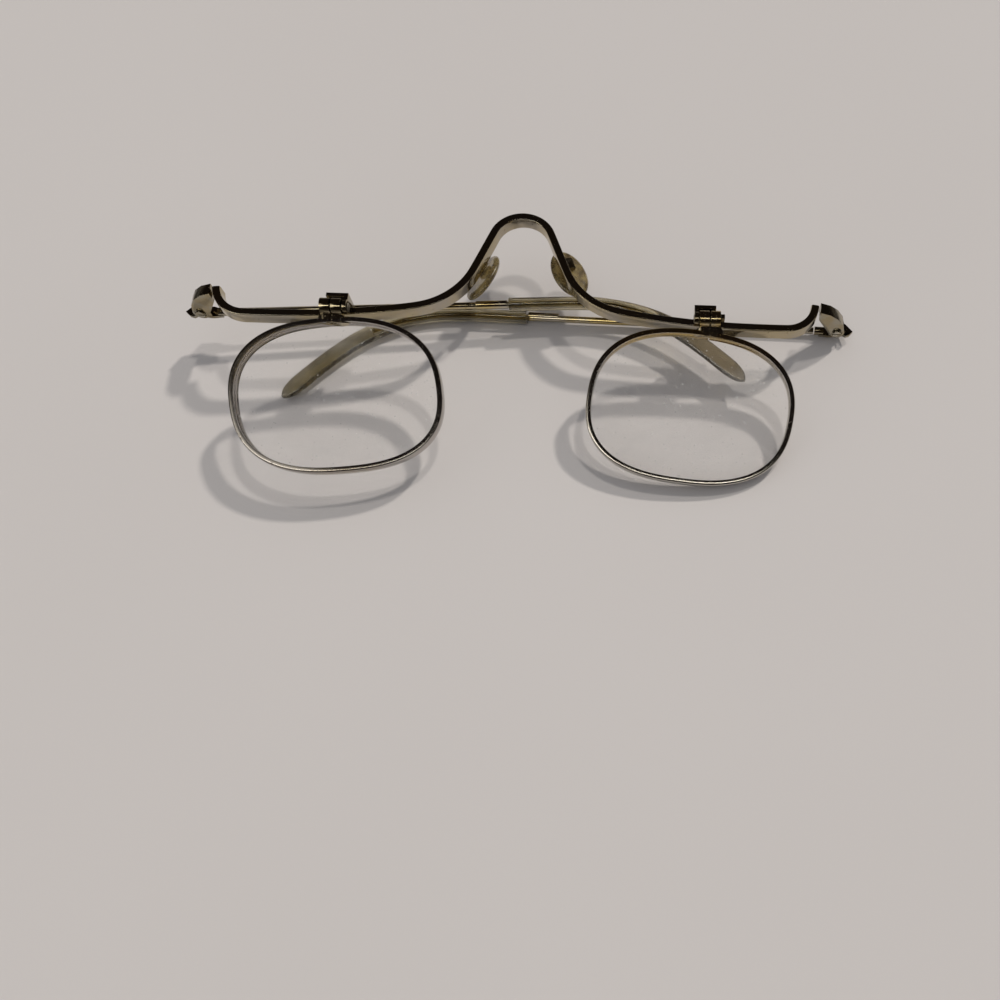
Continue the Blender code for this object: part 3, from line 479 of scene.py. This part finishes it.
# Two lamps from the upper right throw the double shadows; the metal doesn't mirror them
lamps = {"low": {"towards": (0.85, 0.90, 1), "strength": 1.75, "angle": 3.5, "colour": (1.0, 0.96, 0.90)},
         "high": {"towards": (0.40, 0.50, 1), "strength": 0.75, "angle": 4.5, "colour": (1.0, 0.97, 0.92)}}
for name, lamp in lamps.items():
    deselect()
    bpy.ops.object.light_add(type="SUN", location=Vector(lamp["towards"]))
    sun = bpy.context.active_object
    sun.name = "lamp_" + name
    sun.rotation_euler = Vector(lamp["towards"]).to_track_quat("Z", "Y").to_euler()
    sun.data.energy = lamp["strength"]
    sun.data.angle = math.radians(lamp["angle"])
    sun.data.color = lamp["colour"]
    sun.visible_glossy = False

# Room: soft light all round; metal mirrors it dark, with a long bright window overhead and a glow to the left
room = {"soft": (0.44, 0.45, 0.47), "pale": (0.80, 0.80, 0.80),
        "low": (0.10, 0.09, 0.08), "high": (0.012, 0.009, 0.008), "highFrom": 0.04, "highTo": 0.26,
        "window": (4.5, 4.3, 3.9), "windowLean": 24, "windowWidth": 0.05, "windowFrom": 0.3,
        "windowFull": 0.4, "windowEnd": 0.5, "windowFade": 0.3,
        "glow": (-0.60, -0.30, 0.74), "glowFrom": 0.92, "glowFull": 0.97, "glowShare": 0.2}
sky = Look("room", bpy.data.worlds, "Background", "Generated")
skyX, skyY, skyZ = (sky.along(axis) for axis in "XYZ")
lean = math.radians(room["windowLean"])
aside = skyY * math.cos(lean) + skyZ * math.sin(lean)
bright = sky.between(aside * aside, room["windowWidth"] ** 2, 0)
bright = bright * sky.between(skyZ, room["windowFrom"], room["windowFull"])
bright = bright * sky.between(skyX, room["windowEnd"], room["windowFade"])
glow = sky.add("ShaderNodeVectorMath", {"operation": "DOT_PRODUCT"}, [sky.place, room["glow"]], "Value")
bright = bright + sky.between(glow, room["glowFrom"], room["glowFull"]) * room["glowShare"]
dark = sky.tint(sky.between(skyZ, room["highFrom"], room["highTo"]), room["low"], room["high"])
lit = sky.tint(sky.ray("Is Glossy Ray"), room["soft"], sky.tint(bright, dark, room["window"]))
sky.set(Color=sky.tint(sky.ray("Is Camera Ray"), lit, room["pale"]))
sky.material.cycles.sampling_method = "NONE"
bpy.context.scene.world = sky.material

# Camera, measured from the picture: the frame is the lower left part of a wider view
view = {"place": (33.17, -105.21, 158.68), "elevation": 74.96, "yaw": -1.12, "roll": 0.50, "lens": 30.6,
        "sensor": 36, "shift": (-0.1618, 0.1536), "near": 0.01}


def turned(first, second, angle):
    return first * math.cos(angle) + second * math.sin(angle)


elevation, yaw, roll = (math.radians(view[key]) for key in ("elevation", "yaw", "roll"))
ahead = Vector((0, math.cos(elevation), -math.sin(elevation)))
above = Vector((0, math.sin(elevation), math.cos(elevation)))
right = Vector((1, 0, 0))
ahead, right = turned(ahead, right, yaw), turned(right, ahead, -yaw)
right, above = turned(right, above, roll), turned(above, right, -roll)
deselect()
bpy.ops.object.camera_add(location=Vector(view["place"]) * mm)
camera = bpy.context.active_object
camera.rotation_euler = Matrix((right, above, -ahead)).transposed().to_euler()
camera.data.lens = view["lens"]
camera.data.sensor_width = view["sensor"]
camera.data.sensor_fit = "HORIZONTAL"
camera.data.shift_x, camera.data.shift_y = view["shift"]
camera.data.clip_start = view["near"]
bpy.context.scene.camera = camera
bpy.context.scene.view_settings.view_transform = "Standard"
print("stage: paper, lamps and camera set")
